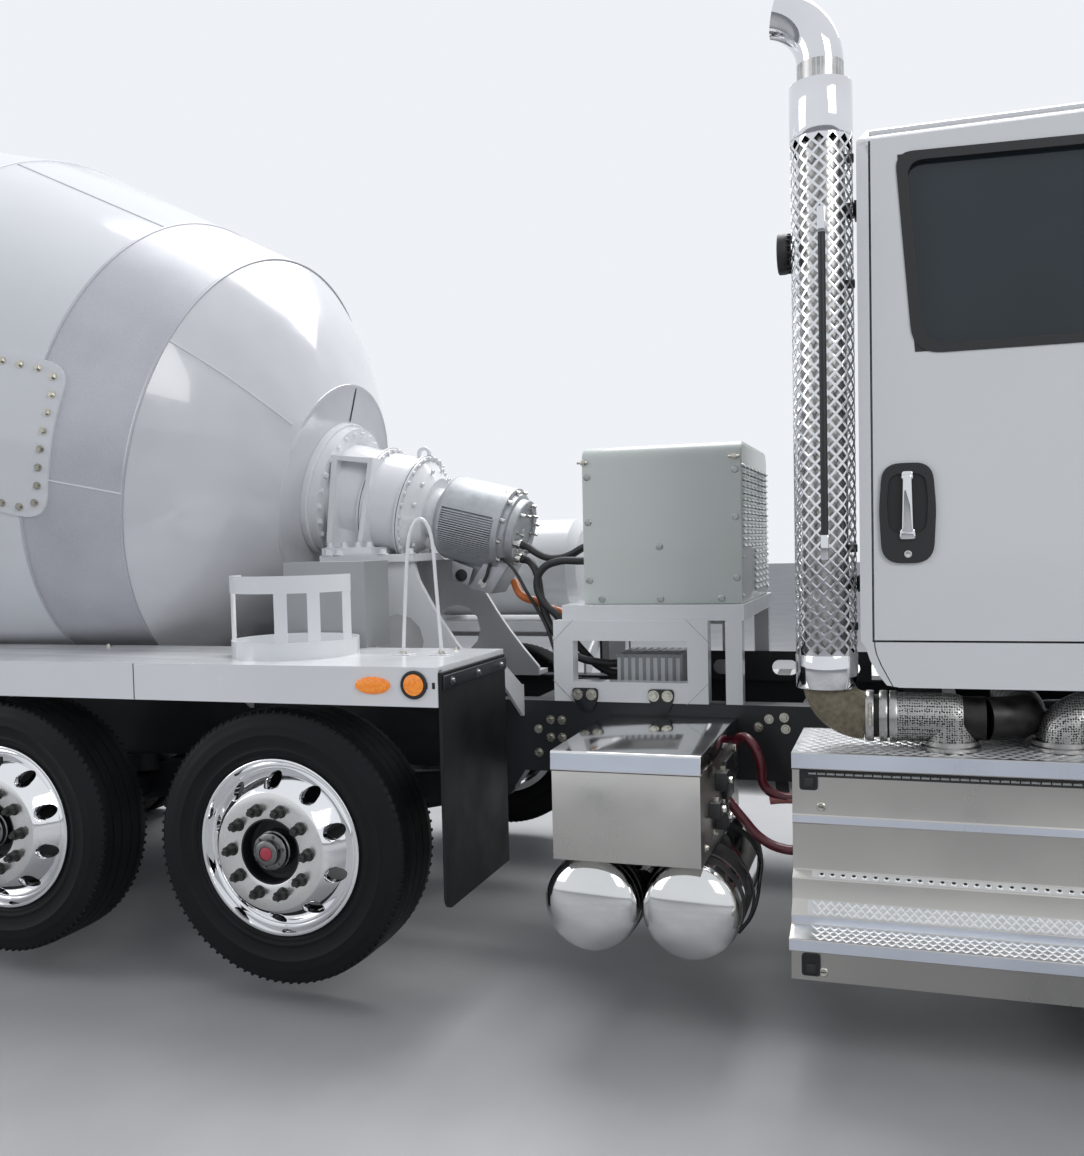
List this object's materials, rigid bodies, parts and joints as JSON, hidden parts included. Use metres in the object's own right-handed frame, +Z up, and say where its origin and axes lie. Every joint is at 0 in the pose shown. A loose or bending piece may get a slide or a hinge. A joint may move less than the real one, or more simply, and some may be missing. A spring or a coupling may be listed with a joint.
{
  "type": "concrete mixer truck",
  "caption": "Rear-discharge concrete mixer truck with an electric drum drive, lifted pusher axles, day cab, tilting hood, folding chute and a drum that turns.",
  "frame": {"origin": "middle of the footprint's bounding box, on the ground under the tyres", "axes": "+X forward along the truck, +Y to the driver's left, +Z up"},
  "size_m": [10.655, 2.72, 3.8498],
  "materials": {
    "white_paint": "gloss white enamel",
    "chassis_black": "black chassis paint",
    "tyre_rubber": "black tyre rubber",
    "flap_rubber": "black rubber sheet",
    "polished_aluminium": "polished forged aluminium",
    "bright_aluminium": "bright brushed aluminium and stainless sheet",
    "chrome_plate": "polished chrome plate",
    "machine_steel": "machined steel",
    "cast_aluminium": "bare cast aluminium",
    "engine_iron": "painted cast iron",
    "tinted_glass": "tinted safety glass",
    "cab_plastic": "dark grey trim and seat cloth",
    "amber_lens": "amber lens plastic"
  },
  "bodies": {
    "chassis": {"frame_rails": "chassis_black", "front_bumper": "chrome_plate", "steer_axle": "chassis_black", "pusher_axles": "chassis_black", "drive_axles": "chassis_black", "engine": "engine_iron", "cab_shell": "white_paint", "cab_glass": "tinted_glass", "cab_interior": "cab_plastic", "side_boxes": "bright_aluminium", "tanks": "bright_aluminium", "exhaust_stack": "chrome_plate", "power_cabinet": "white_paint", "cabinet_stand": "white_paint", "decks": "white_paint", "mud_flaps": "flap_rubber", "front_pedestal": "white_paint", "gearbox": "white_paint", "drive_motor": "cast_aluminium", "rear_pedestal": "white_paint", "hoppers": "white_paint", "lamps": "amber_lens", "cables": "flap_rubber"},
    "knuckle_left": {"knuckle_left": "chassis_black"},
    "knuckle_right": {"knuckle_right": "chassis_black"},
    "tie_rod": {"tie_rod": "chassis_black"},
    "hood": {"hood": "white_paint", "hood_trim": "chrome_plate"},
    "door_left": {"door_left": "white_paint", "door_glass_left": "tinted_glass"},
    "door_right": {"door_right": "white_paint", "door_glass_right": "tinted_glass"},
    "drum": {"drum": "white_paint"},
    "roller_left": {"roller_left": "machine_steel"},
    "roller_right": {"roller_right": "machine_steel"},
    "chute_post": {"chute_post": "white_paint"},
    "main_chute": {"main_chute": "white_paint"},
    "fold_chute": {"fold_chute": "white_paint"},
    "lift_barrel": {"lift_barrel": "machine_steel"},
    "lift_rod": {"lift_rod": "chrome_plate"},
    "steer_wheel_left": {"steer_tyre_left": "tyre_rubber", "steer_wheel_left": "polished_aluminium"},
    "pusher_front_left": {"pusher_front_tyre_left": "tyre_rubber", "pusher_front_wheel_left": "polished_aluminium"},
    "pusher_rear_left": {"pusher_rear_tyre_left": "tyre_rubber", "pusher_rear_wheel_left": "polished_aluminium"},
    "drive_front_left": {"drive_front_tyres_left": "tyre_rubber", "drive_front_wheels_left": "polished_aluminium"},
    "drive_rear_left": {"drive_rear_tyres_left": "tyre_rubber", "drive_rear_wheels_left": "polished_aluminium"},
    "steer_wheel_right": {"steer_tyre_right": "tyre_rubber", "steer_wheel_right": "polished_aluminium"},
    "pusher_front_right": {"pusher_front_tyre_right": "tyre_rubber", "pusher_front_wheel_right": "polished_aluminium"},
    "pusher_rear_right": {"pusher_rear_tyre_right": "tyre_rubber", "pusher_rear_wheel_right": "polished_aluminium"},
    "drive_front_right": {"drive_front_tyres_right": "tyre_rubber", "drive_front_wheels_right": "polished_aluminium"},
    "drive_rear_right": {"drive_rear_tyres_right": "tyre_rubber", "drive_rear_wheels_right": "polished_aluminium"}
  },
  "joints": [
    {"name": "steer_left", "type": "hinge", "parent": "chassis", "child": "knuckle_left", "pos_m": [4.53, 0.88, 0.52], "axis": [0, 0, 1], "range_deg": [-35, 35]},
    {"name": "steer_right", "type": "hinge", "parent": "chassis", "child": "knuckle_right", "pos_m": [4.53, -0.88, 0.52], "axis": [0, 0, 1], "range_deg": [-35, 35]},
    {"name": "tie_rod_pivot", "type": "hinge", "parent": "knuckle_left", "child": "tie_rod", "pos_m": [4.34, 0.88, 0.4], "axis": [0, 0, 1], "range_deg": [-35, 35]},
    {"name": "steer_left_roll", "type": "hinge", "parent": "knuckle_left", "child": "steer_wheel_left", "pos_m": [4.53, 1.045, 0.52], "axis": [0, 1, 0], "continuous": true},
    {"name": "pusher_front_left_roll", "type": "hinge", "parent": "chassis", "child": "pusher_front_left", "pos_m": [0.57, 1.088, 0.57], "axis": [0, 1, 0], "continuous": true},
    {"name": "pusher_rear_left_roll", "type": "hinge", "parent": "chassis", "child": "pusher_rear_left", "pos_m": [-0.595, 1.088, 0.57], "axis": [0, 1, 0], "continuous": true},
    {"name": "drive_front_left_roll", "type": "hinge", "parent": "chassis", "child": "drive_front_left", "pos_m": [-1.87, 0.915, 0.52], "axis": [0, 1, 0], "continuous": true},
    {"name": "drive_rear_left_roll", "type": "hinge", "parent": "chassis", "child": "drive_rear_left", "pos_m": [-3.19, 0.915, 0.52], "axis": [0, 1, 0], "continuous": true},
    {"name": "steer_right_roll", "type": "hinge", "parent": "knuckle_right", "child": "steer_wheel_right", "pos_m": [4.53, -1.045, 0.52], "axis": [0, 1, 0], "continuous": true},
    {"name": "pusher_front_right_roll", "type": "hinge", "parent": "chassis", "child": "pusher_front_right", "pos_m": [0.57, -1.088, 0.57], "axis": [0, 1, 0], "continuous": true},
    {"name": "pusher_rear_right_roll", "type": "hinge", "parent": "chassis", "child": "pusher_rear_right", "pos_m": [-0.595, -1.088, 0.57], "axis": [0, 1, 0], "continuous": true},
    {"name": "drive_front_right_roll", "type": "hinge", "parent": "chassis", "child": "drive_front_right", "pos_m": [-1.87, -0.915, 0.52], "axis": [0, 1, 0], "continuous": true},
    {"name": "drive_rear_right_roll", "type": "hinge", "parent": "chassis", "child": "drive_rear_right", "pos_m": [-3.19, -0.915, 0.52], "axis": [0, 1, 0], "continuous": true},
    {"name": "hood_tilt", "type": "hinge", "parent": "chassis", "child": "hood", "pos_m": [5.23, 0, 0.76], "axis": [0, 1, 0], "range_deg": [0, 60]},
    {"name": "door_left_swing", "type": "hinge", "parent": "chassis", "child": "door_left", "pos_m": [3.606, 1.056, 1.263], "axis": [0, 0, -1], "range_deg": [0, 70]},
    {"name": "door_right_swing", "type": "hinge", "parent": "chassis", "child": "door_right", "pos_m": [3.606, -1.056, 1.263], "axis": [0, 0, 1], "range_deg": [0, 70]},
    {"name": "drum_spin", "type": "hinge", "parent": "chassis", "child": "drum", "pos_m": [0.203, 0, 1.814], "axis": [-0.971, 0, 0.2392], "continuous": true},
    {"name": "roller_left_spin", "type": "hinge", "parent": "chassis", "child": "roller_left", "pos_m": [-3.24677, 0.57674, 1.8156], "axis": [-0.971, 0, 0.2392], "continuous": true},
    {"name": "roller_right_spin", "type": "hinge", "parent": "chassis", "child": "roller_right", "pos_m": [-3.24677, -0.57674, 1.8156], "axis": [-0.971, 0, 0.2392], "continuous": true},
    {"name": "chute_swing", "type": "hinge", "parent": "chassis", "child": "chute_post", "pos_m": [-4.33, 0, 1], "axis": [0, 0, 1], "range_deg": [-90, 90]},
    {"name": "chute_lift", "type": "hinge", "parent": "chute_post", "child": "main_chute", "pos_m": [-4.33, 0, 1.42], "axis": [0, 1, 0], "range_deg": [-25, 5]},
    {"name": "chute_fold", "type": "hinge", "parent": "main_chute", "child": "fold_chute", "pos_m": [-5.308, 0, 1.59], "axis": [0, -1, 0], "range_deg": [0, 180]},
    {"name": "lift_barrel_pivot", "type": "hinge", "parent": "chute_post", "child": "lift_barrel", "pos_m": [-4.44, 0, 0.86], "axis": [0, 1, 0], "range_deg": [-21.42, 4.68]},
    {"name": "lift_rod_slide", "type": "slide", "parent": "lift_barrel", "child": "lift_rod", "axis": [-0.8728, 0, 0.4882], "range_m": [-0.2447, 0.0505]}
  ],
  "couplings": [
    {"joint": "steer_right", "follows": "steer_left", "ratio": 1},
    {"joint": "tie_rod_pivot", "follows": "steer_left", "ratio": -1},
    {"joint": "lift_barrel_pivot", "follows": "chute_lift", "ratio": 0.8367},
    {"joint": "lift_rod_slide", "follows": "chute_lift", "m_per_rad": 0.5563}
  ]
}
